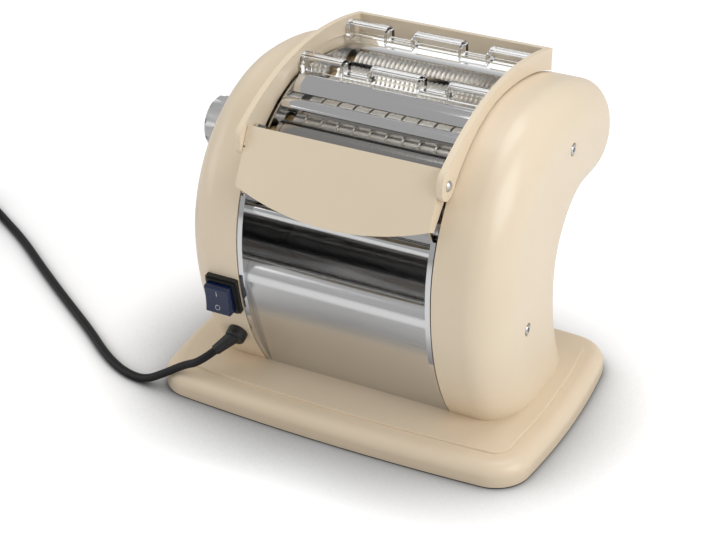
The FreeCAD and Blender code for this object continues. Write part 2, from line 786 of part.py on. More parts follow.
def smooth_roll(place, right_end):
    points = [(-roll_half, smooth_r - 0.8), (-roll_half + 0.8, smooth_r)]
    for x in (-roll_half + 4, roll_half - 5.5):
        points += [(x, smooth_r), (x, smooth_r - collar_depth), (x + 1.5, smooth_r - collar_depth),
                   (x + 1.5, smooth_r)]
    points += [(roll_half - 0.8, smooth_r), (roll_half, smooth_r - 0.8)]
    return turned(place, journals(points, right_end))


def wide_roll(place, right_end, centres, half):
    """A core with rings of one half width on the given centres."""
    core = cutter_r - groove_depth
    points = [(-roll_half, core)]
    for centre in centres:
        x0 = max(centre - half, -roll_half)
        x1 = min(centre + half, roll_half)
        points += [(x0, core), (x0, cutter_r), (x1, cutter_r), (x1, core)]
    points.append((roll_half, core))
    clean = [p for i, p in enumerate(points) if i == 0 or p != points[i - 1]]
    return turned(place, journals(clean, right_end))


def narrow_roll(place, right_end, shift):
    core = cutter_r - narrow_depth
    points = []
    half = narrow_pitch / 2
    for step in range(int(2 * roll_half / half) + 1):
        points.append((-roll_half + step * half, cutter_r if (step + shift) % 2 else core))
    return turned(place, journals(points, right_end))


pair_end = pair_x + gear_width
second_end = second_x + gear_width
drive_end = drive_x + gear_width
rings = [wide_pitch * (k - wide_count // 2) for k in range(wide_count)]
between = [x + wide_pitch / 2 for x in rings[:-1]]
save("smooth_roll_front", smooth_roll(front_smooth, pair_end))
save("smooth_roll_rear", smooth_roll(rear_smooth, drive_end))
save("wide_cutter_front", wide_roll(wide_front, second_end, between, disc_half))
save("wide_cutter_rear", wide_roll(wide_rear, drive_end, rings, wide_pitch / 2 - disc_half - ring_play))
save("narrow_cutter_front", narrow_roll(narrow_front, drive_end, 0))
save("narrow_cutter_rear", narrow_roll(narrow_rear, pair_end, 1))

# Bushes, one at each end of each fixed roll
bushes = []
for place in fixed_rolls:
    bush = rod(plate_inner_x, plate_outer_x, place, bush_r)
    bush = bush.fuse(rod(roll_half + 0.3, plate_inner_x, place, bush_flange_r - 1.5))
    bush = bush.cut(rod(plate_inner_x - 9, plate_outer_x + 1, place, shaft_r + run_gap))
    bushes += [bush, mirrored(bush)]
save("roll_bushes", *bushes)

# Gears
drive_phase = mesh_phase(main_axis, 0, main_teeth, rear_smooth, drive_teeth)
wide_phase = mesh_phase(main_axis, 0, main_teeth, wide_rear, drive_teeth)
second_phase = mesh_phase(main_axis, 0, main_teeth, second_axis, drive_teeth)
idler_phase = mesh_phase(main_axis, 0, main_teeth, idler_axis, idler_teeth)
narrow_phase = mesh_phase(idler_axis, idler_phase, idler_teeth, narrow_front, drive_teeth)
pair_phase = mesh_phase(rear_smooth, 0, pair_teeth, front_smooth, pair_teeth)
wide_pair = mesh_phase(wide_rear, 0, pair_teeth, wide_front, pair_teeth)
narrow_pair = mesh_phase(narrow_front, 0, pair_teeth, narrow_rear, pair_teeth)
small_phase = mesh_phase(second_axis, 0, main_teeth, first_axis, drive_teeth)
pinion_phase = mesh_phase(first_axis, 0, first_teeth, motor_axis, pinion_teeth)
pair_module = smooth_spacing / pair_teeth
cut_module = cutter_spacing / pair_teeth


def double_gear(first, second, place, bore):
    """Two gears side by side joined by a hub. Each gear is (x, module, teeth, phase)."""
    low, high = sorted((first, second))
    shape = gear(low[0], gear_width, place, low[1], low[2], low[3], bore)
    shape = shape.fuse(gear(high[0], gear_width, place, high[1], high[2], high[3], bore))
    return shape.fuse(tube(low[0], high[0] + gear_width, place, hub_r, bore))


save("smooth_gear_front", gear(pair_x, gear_width, front_smooth, pair_module, pair_teeth, pair_phase, shaft_r))
save("smooth_gear_rear", double_gear((pair_x, pair_module, pair_teeth, 0),
                                     (drive_x, module, drive_teeth, drive_phase), rear_smooth, shaft_r))
save("wide_gear_front", gear(second_x, gear_width, wide_front, cut_module, pair_teeth, wide_pair, shaft_r))
save("wide_gear_rear", double_gear((second_x, cut_module, pair_teeth, 0),
                                   (drive_x, module, drive_teeth, wide_phase), wide_rear, shaft_r))
save("narrow_gear_front", double_gear((pair_x, cut_module, pair_teeth, 0),
                                      (drive_x, module, drive_teeth, narrow_phase), narrow_front, shaft_r))
save("narrow_gear_rear", gear(pair_x, gear_width, narrow_rear, cut_module, pair_teeth, narrow_pair, shaft_r))
axle_bore = axle_r + run_gap
save("main_gear", gear(drive_x, gear_width, main_axis, module, main_teeth, 0, axle_bore))
save("idler_gear", gear(drive_x, gear_width, idler_axis, module, idler_teeth, idler_phase, axle_bore))
save("second_gear", double_gear((drive_x, module, drive_teeth, second_phase),
                                (slow_x, module, main_teeth, 0), second_axis, axle_bore))
save("first_gear", double_gear((slow_x, module, drive_teeth, small_phase),
                               (fast_x, module, first_teeth, 0), first_axis, axle_bore))
axles = []
for place, gear_x, end in ((main_axis, drive_x, drive_end), (idler_axis, drive_x, drive_end),
                           (second_axis, drive_x, slow_x + gear_width), (first_axis, slow_x, gear_plate_end)):
    axle = rod(plate_inner_x, end, place, axle_r)
    axle = axle.fuse(rod(plate_outer_x, gear_x - 0.1, place, washer_r))
    axles.append(axle)
save("gear_axles", *axles)

# Motor on a saddle bracket
motor_left = motor_x - motor_half
motor_right = motor_x + motor_half
can = turned(motor_axis, [(motor_left, motor_r - 3), (motor_left + 3, motor_r), (motor_right - 3, motor_r),
                          (motor_right, motor_r - 3), (motor_right, 9.0), (motor_right + 5, 9.0)])
can = can.cut(rod(motor_left - 1, motor_right + 6, motor_axis, rotor_r + run_gap))
save("motor_body", can)
rotor = rod(motor_left + 4, fast_x + gear_width, motor_axis, rotor_r)
save("motor_shaft", rotor)
save("motor_pinion", gear(fast_x, gear_width, motor_axis, module, pinion_teeth, pinion_phase, rotor_r))
saddle = block(motor_x - saddle_half, motor_x + saddle_half, motor_axis[0] - saddle_reach,
               motor_axis[0] + saddle_reach, base_top, motor_axis[1] - 12)
saddle = saddle.cut(rod(motor_x - saddle_half - 1, motor_x + saddle_half + 1, motor_axis, motor_r))
saddle = saddle.cut(block(motor_x - saddle_half + 4, motor_x + saddle_half - 4, motor_axis[0] - 31,
                          motor_axis[0] + 31, base_top + 4, motor_axis[1] - 11))
save("motor_bracket", saddle)

# Carriage of the front smooth roll and its regulator
carrier_x0 = plate_outer_x + 0.1
carrier_x1 = carrier_x0 + carrier_wall


def lean(place, u, v):
    """A place moved u along the carriage's travel and v square to it."""
    return (place[0] + carry_dir[0] * u - carry_dir[1] * v, place[1] + carry_dir[1] * u + carry_dir[0] * v)


def carrier_side():
    shape = rod(carrier_x0, carrier_x1, front_smooth, carrier_r)
    shape = shape.fuse(rod(carrier_x0, carrier_x1, carrier_bar, bar_r + 3))
    shape = shape.fuse(plate(carrier_x0, carrier_x1, [
        (front_smooth[0], front_smooth[1] + 6), (carrier_bar[0], carrier_bar[1] + 5),
        (carrier_bar[0], carrier_bar[1] - 5), (front_smooth[0], front_smooth[1] - 8)]))
    shape = shape.fuse(rod(plate_inner_x - 0.6, carrier_x0, front_smooth, bush_r))
    return shape


carrier = carrier_side()
hook_in = cam_r + 1.2
hook_out = hook_in + 5.5
hook = outline(
    carrier_x0, carrier_x1, lean(knob_axis, -cam_r - hook_gap, -grip),
    lean(knob_axis, -cam_r - hook_gap, grip),
    polar(knob_axis, hook_in + 1.5, 20), (polar(knob_axis, hook_in, -80), polar(knob_axis, hook_in, -170)),
    (front_smooth[0] + 4, front_smooth[1] - 2), (front_smooth[0], front_smooth[1] - 9),
    (polar(knob_axis, hook_out, 190)), (polar(knob_axis, hook_out, -80), polar(knob_axis, hook_out, 15)),
    lean(knob_axis, -cam_r - hook_gap - 4, grip), lean(knob_axis, -cam_r - hook_gap - 4, -grip),
    lean(knob_axis, -cam_r - hook_gap, -grip))
left_carrier = mirrored(carrier.fuse(hook)).cut(rod(-99, -70, front_smooth, shaft_r + run_gap))
right_carrier = carrier.cut(rod(70, 99, front_smooth, shaft_r + run_gap))
save("roll_carriers", right_carrier, left_carrier)
save("carrier_bar", rod(-carrier_x0, carrier_x0, carrier_bar, bar_r))

cam_points = []
for step in range(25):
    turn = 300.0 * step / 24
    cam_points.append(polar(knob_axis, cam_r - smooth_travel * turn / 300.0, smooth_angle - 180 - turn))
cam = plate(-carrier_x1, -carrier_x0, cam_points).cut(rod(-99, -70, knob_axis, shaft_r))
save("regulator_cam", cam)
knob_end = knob_x + knob_depth
save("regulator_shaft", rod(-knob_end + 4, -plate_inner_x + 1.2, knob_axis, shaft_r))


def star_knob():
    """A round knob whose flutes run out towards the foot, with a dished end."""
    shape = turned(knob_axis, [(-knob_end, knob_r - 2.5), (-knob_end + 2.5, knob_r), (-knob_x - 2, knob_r - 0.6),
                               (-knob_x, knob_r - 2.0)])
    for k in range(knob_lobes):
        a = 360.0 * (k + 0.5) / knob_lobes
        tip = polar(knob_axis, knob_r + 4.6, a)
        foot = polar(knob_axis, knob_r + 8.6, a)
        axis = at(-knob_x - 2, foot) - at(-knob_end - 1, tip)
        shape = shape.cut(Part.makeCylinder(flute_r, axis.Length, at(-knob_end - 1, tip), axis))
    dish = rod(-knob_end - 1, -knob_end + 1.2, knob_axis, knob_r - 9.5)
    return shape.cut(dish).cut(rod(-knob_end + 4, 0, knob_axis, shaft_r))


save("thickness_knob", star_knob())
collar = tube(-knob_x + 0.4, -cap_x, knob_axis, 9.0, shaft_r + run_gap)
collar = collar.fuse(tube(-cap_x, -cap_x + cover_wall + 1, knob_axis, 6.5, shaft_r + run_gap))
save("knob_collar", collar)

# Rocker switch on the left cover's front rim
housing_x = switch_half_x - 1.5
housing_z = switch_half_z - 1.7
opening_x = rocker_half + 0.3
opening_z = housing_z - 1.2
bezel = front_box(-switch_x - switch_half_x, -switch_x + switch_half_x, switch_z,
                  -switch_half_z, switch_half_z, -1.5, bezel_lip)
bezel = bezel.makeFillet(1.4, [e for e in bezel.Edges if e.BoundBox.XLength < 0.01 and e.Length < 6])
bezel = bezel.cut(body_prism(-cap_x, 0, 0))
housing = front_box(-switch_x - housing_x, -switch_x + housing_x, switch_z, -housing_z, housing_z, -24, collar_out)
bezel = bezel.fuse(housing)
bezel = bezel.cut(front_box(-switch_x - opening_x, -switch_x + opening_x, switch_z,
                            -opening_z, opening_z, -rocker_depth, 30))
save("switch_housing", bezel)
switch_at, switch_out, switch_up = front_frame(switch_z)


def on_switch(t, n):
    return (switch_at[0] + t * switch_up[0] + n * switch_out[0],
            switch_at[1] + t * switch_up[1] + n * switch_out[1])


rocker_pivot = on_switch(0, rocker_pin_depth)
rocker = outline(
    -switch_x - rocker_half, -switch_x + rocker_half,
    on_switch(-rocker_high, rocker_in), on_switch(-rocker_high, rocker_out - 1.6),
    (on_switch(-rocker_high + 0.5, rocker_out - 0.5), on_switch(-rocker_high + 1.6, rocker_out)),
    (on_switch(0, rocker_out - 0.9), on_switch(rocker_high - 1.6, rocker_out)),
    (on_switch(rocker_high - 0.5, rocker_out - 0.5), on_switch(rocker_high, rocker_out - 1.6)),
    on_switch(rocker_high, rocker_in), on_switch(-rocker_high, rocker_in))
rocker = rocker.fuse(rod(-switch_x - opening_x, -switch_x + opening_x, rocker_pivot, pivot_r))
rocker.rotate(at(0, rocker_pivot), V(1, 0, 0), -rocker_tilt)
save("switch_rocker", rocker)

# Cable gland: a round nut on the rim and a short sleeve that turns the cord aside
nut = Part.makeCylinder(gland_r, gland_reach, gland_at - gland_out, gland_out)
nut = nut.makeFillet(2.0, [e for e in nut.Edges if len(e.Vertexes) == 1
                           and (e.Vertexes[0].Point - gland_at).dot(gland_out) > gland_reach - 2])
nut = nut.cut(body_prism(-cap_x, 0, 0))
stem = Part.makeCylinder(6.1, 9, gland_at - gland_out * 8.5, gland_out)
cord_from = V(-106.0, -89.3, 42.6)
nose_from = gland_at + gland_out * (gland_reach - 5.5)
cord_dir = (cord_from - nose_from).normalize()
sleeve = Part.makeCone(6.0, cord_d / 2 + 0.9, (cord_from - nose_from).Length, nose_from, cord_dir)
gland = nut.fuse(stem).fuse(sleeve)
save("cable_gland", gland)

# Mains cord: straight runs joined by tangent arcs, then a coil of the length put away
cord_r = cord_d / 2
cord_route = [
    cord_from,
    cord_from + cord_dir * cord_reach,
    V(-130.0, -98.5, 27.2),
    V(-148.5, -102.0, 15.0),
    V(-167.0, -102.0, cord_r + 0.5),
    V(-189.0, -98.5, cord_r),
    V(-216.0, -84.0, cord_r),
    V(-250.0, -58.0, cord_r),
    V(-296.0, -27.0, cord_r),
    V(-346.0, 8.0, cord_r),
    V(-392.0, 42.0, cord_r),
    V(-434.0, 68.0, cord_r),
    V(coil_entry[0], coil_entry[1], cord_r),
]


def runs_and_arcs(points):
    """A wire of straight runs whose corners are arcs as large as the runs allow."""
    radii = []
    edges = []
    start = points[0]
    for k in range(1, len(points) - 1):
        back = points[k - 1] - points[k]
        ahead = points[k + 1] - points[k]
        turn = math.pi - back.getAngle(ahead)
        setback = 0.45 * min(back.Length, ahead.Length)
        radii.append(setback / math.tan(turn / 2))
        p = points[k] + back.normalize() * setback
        q = points[k] + ahead.normalize() * setback
        inward = (back + ahead).normalize()
        middle = points[k] + inward * (radii[-1] / math.cos(turn / 2) - radii[-1])
        edges.append(Part.LineSegment(start, p).toShape())
        edges.append(Part.Arc(p, middle, q).toShape())
        start = q
    edges.append(Part.LineSegment(start, points[-1]).toShape())
    return Part.Wire(edges), radii


def tube_along(wire):
    first = wire.OrderedEdges[0]
    ahead = first.tangentAt(first.FirstParameter)
    ring = Part.Wire(Part.makeCircle(cord_r, first.valueAt(first.FirstParameter), ahead))
    return wire.makePipeShell([ring], True, False)


path, radii = runs_and_arcs(cord_route)
cord = tube_along(path)
print("cord radii", [round(r) for r in radii])
print("cord length", round(path.Length), "volume ratio", round(cord.Volume / path.Length / math.pi / cord_r ** 2, 4))
save("mains_cord", cord)

# The coil spirals in on the floor, climbs a layer at its middle and spirals out on top
coil_turns = coil_in + 0.5 + coil_out
coil_from = cord_route[-1]
heading = (coil_from - cord_route[-2]).normalize()
coil_side = V(-heading.y, heading.x, 0)
coil_start = coil_from + heading * cord_d
coil_middle = coil_start + coil_side * coil_r


def coil_point(turns):
    """A point of the coil after a number of turns, counted from where it starts to bend."""
    if turns <= coil_in:
        radius = coil_r - coil_pitch * turns
        lift = 0.0
    elif turns >= coil_in + 0.5:
        radius = coil_r - coil_pitch * (coil_in + 0.25) + coil_pitch * (turns - coil_in - 0.25)
        lift = coil_layer
    else:
        share = (turns - coil_in) / 0.5
        radius = coil_r - coil_pitch * (coil_in + 0.25) + coil_pitch * 0.5 * (share - 0.5) ** 2 + 0.125 * coil_pitch
        lift = coil_layer * (3 * share ** 2 - 2 * share ** 3)
    a = 2 * math.pi * turns
    out = coil_side * -math.cos(a) + heading * math.sin(a)
    return coil_middle + out * radius + V(0, 0, lift)


def coil_tangent(turns):
    step = 1e-4
    return (coil_point(turns + step) - coil_point(turns - step)).normalize()


def arc_from(p, along, q):
    """The arc that leaves p along a direction and ends at q."""
    chord = q - p
    unit = FreeCAD.Vector(chord).normalize()
    side_way = along - unit * along.dot(unit)
    half = math.asin(min(side_way.Length, 1.0))
    middle = p + chord * 0.5 + side_way.normalize() * (chord.Length / 2 * math.tan(half / 2))
    return Part.Arc(p, middle, q).toShape()


def two_arcs(p, p_dir, q, q_dir):
    """Two arcs joined smoothly, from p to q, with the given directions at the ends."""
    gap = q - p
    both = p_dir + q_dir
    dot = 2 * (1 - p_dir.dot(q_dir))
    reach = (-gap.dot(both) + math.sqrt(gap.dot(both) ** 2 + dot * gap.dot(gap))) / dot
    joint = (p + q + (p_dir - q_dir) * reach) * 0.5
    first = arc_from(p, p_dir, joint)
    turn_dir = (joint - (p + p_dir * reach)).normalize()
    return [first, arc_from(joint, turn_dir, q)]


start_dir = heading
coil_edges = [Part.LineSegment(coil_from, coil_start).toShape()]
spot, spot_dir = coil_start, start_dir
steps = round(coil_turns * 2)
for k in range(1, steps + 1):
    turns = coil_turns * k / steps
    target, target_dir = coil_point(turns), coil_tangent(turns)
    coil_edges += two_arcs(spot, spot_dir, target, target_dir)
    spot, spot_dir = target, target_dir
plug_from = spot + spot_dir * plug_lead
coil_edges.append(Part.LineSegment(spot, plug_from).toShape())
coil_path = Part.Wire(coil_edges)
coil = tube_along(coil_path)
samples = [p for e in coil_edges for p in e.discretize(12)[:-1]]
apart = 16
gaps = [(samples[i] - samples[j]).Length for i in range(len(samples)) for j in range(i + apart, len(samples))]
print("coil length", round(coil_path.Length), "least gap", round(min(gaps) - cord_d, 2),
      "volume ratio", round(coil.Volume / coil_path.Length / math.pi / cord_r ** 2, 4))
save("cord_coil", coil)

# Plug on the coil's end: a moulded body with a tapered neck and two round pins
plug_high = 2 * (cord_r + coil_layer)
side_dir = V(-spot_dir.y, spot_dir.x, 0)


def plug_section(along, width, height):
    middle = plug_from + spot_dir * along
    w, h = side_dir * (width / 2), V(0, 0, height / 2)
    soft = 0.6
    corners = []
    for a, b, c, d in ((-1, -soft, -soft, -1), (soft, -1, 1, -soft), (1, soft, soft, 1), (-soft, 1, -1, soft)):
        corners += [middle + w * a + h * b, middle + w * c + h * d]
    return Part.makePolygon(corners + corners[:1])


neck = Part.makeLoft([plug_section(0, cord_d + 4, cord_d + 4), plug_section(plug_neck, 15, 13)], True, True)
shell = Part.makeLoft([plug_section(plug_neck, 22, plug_high - 4), plug_section(plug_neck + 8, plug_width, plug_high),
                       plug_section(plug_neck + plug_length, plug_width, plug_high)], True, True)
plug = neck.fuse(shell)
for sx in (-1, 1):
    pin_at = plug_from + spot_dir * (plug_neck + plug_length) + side_dir * (sx * pin_spread)
    plug = plug.fuse(Part.makeCylinder(pin_r, pin_length, pin_at - spot_dir, spot_dir))
save("mains_plug", plug)
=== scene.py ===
import math

import bmesh
import bpy
from mathutils import Matrix, Vector


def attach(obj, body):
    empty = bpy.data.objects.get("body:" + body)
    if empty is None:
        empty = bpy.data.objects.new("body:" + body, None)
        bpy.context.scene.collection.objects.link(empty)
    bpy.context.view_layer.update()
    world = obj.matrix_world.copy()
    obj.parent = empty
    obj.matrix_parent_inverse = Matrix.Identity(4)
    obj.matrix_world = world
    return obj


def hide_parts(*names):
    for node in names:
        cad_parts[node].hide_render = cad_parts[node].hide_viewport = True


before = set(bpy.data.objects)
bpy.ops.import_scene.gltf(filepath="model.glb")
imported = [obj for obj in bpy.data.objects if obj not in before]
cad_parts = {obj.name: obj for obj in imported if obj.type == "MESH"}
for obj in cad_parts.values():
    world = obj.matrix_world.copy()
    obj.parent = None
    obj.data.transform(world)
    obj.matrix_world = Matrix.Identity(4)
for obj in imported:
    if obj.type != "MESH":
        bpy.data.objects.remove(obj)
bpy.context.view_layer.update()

# Camera. A long lens looks down on the machine from its front right corner, as in the
# photograph, level and with no shift.
camera_place = Vector((0.5261, -1.0738, 0.7932))
camera_target = Vector((0.0017, -0.0532, 0.1256))
camera = bpy.data.objects.new("camera", bpy.data.cameras.new("camera"))
camera.data.lens = 88.48
camera.data.sensor_width = 36.0
camera.location = camera_place
camera.rotation_euler = (camera_target - camera_place).to_track_quat("-Z", "Y").to_euler()
bpy.context.collection.objects.link(camera)
bpy.context.scene.camera = camera

# Mains cord. A round black rubber lead leaves the gland on the left cover, drops over the
# corner of the base and runs off along the worktop, where the rest lies coiled by its plug.
mm = 0.001
cord_d = 6.5
cord_r = cord_d / 2
gland_face = Vector((-106.0, -89.3, 42.6))
gland_way = Vector((-0.5919, -0.5987, -0.5397)).normalized()
cord_points = [
    gland_face,
    gland_face + gland_way * 16.0,
    Vector((-130.0, -98.5, 27.2)),
    Vector((-148.5, -102.0, 15.0)),
    Vector((-167.0, -102.0, cord_r + 0.5)),
    Vector((-189.0, -98.5, cord_r)),
    Vector((-216.0, -84.0, cord_r)),
    Vector((-250.0, -58.0, cord_r)),
    Vector((-296.0, -27.0, cord_r)),
    Vector((-346.0, 8.0, cord_r)),
    Vector((-392.0, 42.0, cord_r)),
    Vector((-434.0, 68.0, cord_r)),
    Vector((-470.0, 90.0, cord_r)),
]
coil_r = 44.0
coil_pitch = 7.1
coil_in = 2.25
coil_out = 1.75
coil_layer = 7.1
plug_lead = 27.0
coil_way = (cord_points[-1] - cord_points[-2]).normalized()
coil_side = Vector((-coil_way.y, coil_way.x, 0))
coil_start = cord_points[-1] + coil_way * cord_d
coil_middle = coil_start + coil_side * coil_r
coil_turns = coil_in + 0.5 + coil_out
points_a_turn = 16
reversal = coil_in + 0.25
for step in range(int(coil_turns * points_a_turn) + 1):
    turns = step / points_a_turn
    share = min(max((turns - coil_in) / 0.5, 0.0), 1.0)
    radius = coil_r - coil_pitch * reversal + coil_pitch * abs(turns - reversal)
    around = -coil_side * math.cos(2 * math.pi * turns) + coil_way * math.sin(2 * math.pi * turns)
    lift = coil_layer * (3 * share ** 2 - 2 * share ** 3)
    cord_points.append(coil_middle + around * radius + Vector((0, 0, lift)))
last = 2 * math.pi * coil_turns
plug_way = (coil_side * math.sin(last) + coil_way * math.cos(last)).normalized()
plug_face = cord_points[-1] + plug_way * plug_lead
cord_points.append(plug_face)

lead = bpy.data.curves.new("lead", "CURVE")
lead.dimensions = "3D"
lead.resolution_u = 8
lead.bevel_depth = 1.0
lead.bevel_resolution = 6
lead.use_fill_caps = True
spline = lead.splines.new("NURBS")
spline.points.add(len(cord_points) - 1)
for spot, place in zip(spline.points, cord_points):
    spot.co = (place.x * mm, place.y * mm, place.z * mm, 1.0)
    spot.radius = cord_r * mm
spline.order_u = 3
spline.use_endpoint_u = True
cord = bpy.data.objects.new("lead", lead)
bpy.context.collection.objects.link(cord)
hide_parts("mains_cord", "cord_coil")
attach(cord, "machine")


def principled(name, colour, rough, metal=0.0):
    """A new node material with its surface shader."""
    material = bpy.data.materials.new(name)
    material.use_nodes = True
    shader = material.node_tree.nodes["Principled BSDF"]
    shader.inputs["Base Color"].default_value = (*colour, 1.0)
    shader.inputs["Roughness"].default_value = rough
    shader.inputs["Metallic"].default_value = metal
    return material, material.node_tree, shader


def grain(tree, scale, detail=3.0, stretch=(1, 1, 1)):
    """A noise on the piece's own coordinates, stretched along its axes."""
    place = tree.nodes.new("ShaderNodeTexCoord")
    mapping = tree.nodes.new("ShaderNodeMapping")
    mapping.inputs["Scale"].default_value = stretch
    noise = tree.nodes.new("ShaderNodeTexNoise")
    noise.inputs["Scale"].default_value = scale
    noise.inputs["Detail"].default_value = detail
    tree.links.new(place.outputs["Object"], mapping.inputs["Vector"])
    tree.links.new(mapping.outputs["Vector"], noise.inputs["Vector"])
    return noise.outputs["Fac"]


def spread(tree, value, low, high):
    """Maps a noise onto a range, for a roughness or a mask."""
    ranged = tree.nodes.new("ShaderNodeMapRange")
    ranged.inputs["From Min"].default_value = 0.3
    ranged.inputs["From Max"].default_value = 0.7
    ranged.inputs["To Min"].default_value = low
    ranged.inputs["To Max"].default_value = high
    tree.links.new(value, ranged.inputs["Value"])
    return ranged.outputs["Result"]


def tint(tree, value, first, second):
    """Mixes two colours by a noise."""
    mix = tree.nodes.new("ShaderNodeMix")
    mix.data_type = "RGBA"
    mix.inputs["A"].default_value = (*first, 1.0)
    mix.inputs["B"].default_value = (*second, 1.0)
    tree.links.new(value, mix.inputs["Factor"])
    return mix.outputs["Result"]


def relief(tree, shader, value, strength, depth):
    """Bumps the surface by a noise. The depth is in millimetres."""
    bump = tree.nodes.new("ShaderNodeBump")
    bump.inputs["Strength"].default_value = strength
    bump.inputs["Distance"].default_value = depth * mm
    tree.links.new(value, bump.inputs["Height"])
    tree.links.new(bump.outputs["Normal"], shader.inputs["Normal"])


def dress(material, *names):
    """Gives CAD nodes their finish."""
    for name in names:
        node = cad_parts[name]
        for slot in node.material_slots:
            slot.material = material


rubber, tree, shader = principled("cord_rubber", (0.006, 0.006, 0.0065), 0.48)
shader.inputs["Specular IOR Level"].default_value = 0.3
tree.links.new(spread(tree, grain(tree, 900.0), 0.4, 0.58), shader.inputs["Roughness"])
relief(tree, shader, grain(tree, 1500.0), 0.15, 0.05)
lead.materials.append(rubber)

# Painted steel. Both side covers, the front panel and the guard's frame are pressed or bent
# sheet with a smooth satin cream enamel.
enamel, tree, shader = principled("cream_enamel", (0.75, 0.63, 0.47), 0.36)
fine = grain(tree, 260.0, 4.0)
shade = spread(tree, grain(tree, 9.0), 0.0, 1.0)
tree.links.new(tint(tree, shade, (0.735, 0.615, 0.455), (0.765, 0.645, 0.485)), shader.inputs["Base Color"])
tree.links.new(spread(tree, fine, 0.33, 0.41), shader.inputs["Roughness"])
shader.inputs["Coat Weight"].default_value = 0.25
shader.inputs["Coat Roughness"].default_value = 0.22
relief(tree, shader, fine, 0.12, 0.03)
dress(enamel, "left_cover", "right_cover", "front_panel", "guard_frame")

# Base. A moulded hollow plinth in the same cream, a little glossier than the metal, on four
# rubber feet, with a dark floor plate below.
moulding, tree, shader = principled("cream_moulding", (0.74, 0.61, 0.445), 0.34)
fine = grain(tree, 420.0, 4.0)
tree.links.new(spread(tree, fine, 0.3, 0.4), shader.inputs["Roughness"])
shade = spread(tree, grain(tree, 12.0), 0.0, 1.0)
tree.links.new(tint(tree, shade, (0.73, 0.6, 0.435), (0.75, 0.62, 0.46)), shader.inputs["Base Color"])
relief(tree, shader, fine, 0.15, 0.03)
dress(moulding, "base_plate")
dark, tree, shader = principled("dark_plastic", (0.006, 0.006, 0.0065), 0.45)
tree.links.new(spread(tree, grain(tree, 700.0), 0.38, 0.55), shader.inputs["Roughness"])
relief(tree, shader, grain(tree, 1200.0), 0.2, 0.05)
dress(dark, "base_floor", "rubber_feet", "switch_housing", "cable_gland", "knob_collar", "mains_plug")

# Chrome. The side plates, chutes, hood and guides are polished sheet steel, with faint
# lines along the sheet where it was rolled and buffed.
chrome, tree, shader = principled("polished_chrome", (0.68, 0.68, 0.685), 0.07, 1.0)
lines = grain(tree, 60.0, 5.0, (0.6, 14.0, 14.0))
tree.links.new(spread(tree, lines, 0.05, 0.11), shader.inputs["Roughness"])
relief(tree, shader, lines, 0.03, 0.02)
dress(chrome, "side_plate_left", "side_plate_right", "rear_chute", "rear_panel", "rear_hood",
      "guide_front", "guide_middle", "guide_rear", "infeed_guide", "front_tie_rod", "tie_rods")

# Front chute. Its nose and trough are the same polished sheet, drawn over a former, which
# leaves it a little duller and brighter under a soft light.
drawn, tree, shader = principled("drawn_chrome", (0.7, 0.7, 0.705), 0.17, 1.0)
lines = grain(tree, 60.0, 5.0, (0.6, 14.0, 14.0))
tree.links.new(spread(tree, lines, 0.16, 0.25), shader.inputs["Roughness"])
relief(tree, shader, lines, 0.04, 0.02)
dress(drawn, "front_chute")

# Rolls and cutters. The smooth rolls are ground steel. The cutters are turned steel with fine turning marks
# round each ring, and a warm cream tint in their colour that is a painted reflection of the cream paint
# around them.
ground, tree, shader = principled("ground_steel", (0.36, 0.35, 0.335), 0.18, 1.0)
marks = grain(tree, 90.0, 4.0, (22.0, 1.0, 1.0))
tree.links.new(spread(tree, marks, 0.1, 0.22), shader.inputs["Roughness"])
relief(tree, shader, marks, 0.05, 0.02)
dress(ground, "smooth_roll_front", "smooth_roll_rear")
# The warm cream tint of this steel is a painted reflection.
turned, tree, shader = principled("turned_steel", (0.66, 0.63, 0.58), 0.36, 1.0)
marks = grain(tree, 140.0, 4.0, (26.0, 1.0, 1.0))
tree.links.new(spread(tree, marks, 0.3, 0.44), shader.inputs["Roughness"])
relief(tree, shader, marks, 0.08, 0.02)
dress(turned, "wide_cutter_front", "wide_cutter_rear", "narrow_cutter_front", "narrow_cutter_rear")

# Drive. Gears, axles, motor and carriage sit inside the covers: plain cut steel, plated
# steel, sintered bronze and a dark painted motor can.
cut, tree, shader = principled("cut_steel", (0.42, 0.42, 0.43), 0.35, 1.0)
tree.links.new(spread(tree, grain(tree, 300.0), 0.28, 0.45), shader.inputs["Roughness"])
dress(cut, "smooth_gear_front", "smooth_gear_rear", "wide_gear_front", "wide_gear_rear",
      "narrow_gear_front", "narrow_gear_rear", "main_gear", "idler_gear", "second_gear", "first_gear",
      "motor_pinion", "motor_shaft", "gear_axles", "regulator_cam", "regulator_shaft")
plated, tree, shader = principled("plated_steel", (0.56, 0.56, 0.55), 0.3, 1.0)
tree.links.new(spread(tree, grain(tree, 400.0), 0.24, 0.4), shader.inputs["Roughness"])
dress(plated, "cover_posts", "cover_screws", "hinge_rivets", "motor_bracket", "roll_carriers", "carrier_bar",
      "gear_plate")
bronze, tree, shader = principled("sintered_bronze", (0.4, 0.27, 0.13), 0.45, 1.0)
tree.links.new(spread(tree, grain(tree, 800.0), 0.4, 0.6), shader.inputs["Roughness"])
dress(bronze, "roll_bushes")
can, tree, shader = principled("motor_paint", (0.03, 0.03, 0.035), 0.4)
tree.links.new(spread(tree, grain(tree, 500.0), 0.35, 0.5), shader.inputs["Roughness"])
dress(can, "motor_body")

# Knob. A moulded star knob in a satin silver grey.
grey, tree, shader = principled("knob_grey", (0.5, 0.5, 0.5), 0.33, 0.5)
tree.links.new(spread(tree, grain(tree, 500.0), 0.28, 0.4), shader.inputs["Roughness"])
relief(tree, shader, grain(tree, 900.0), 0.1, 0.03)
dress(grey, "thickness_knob")

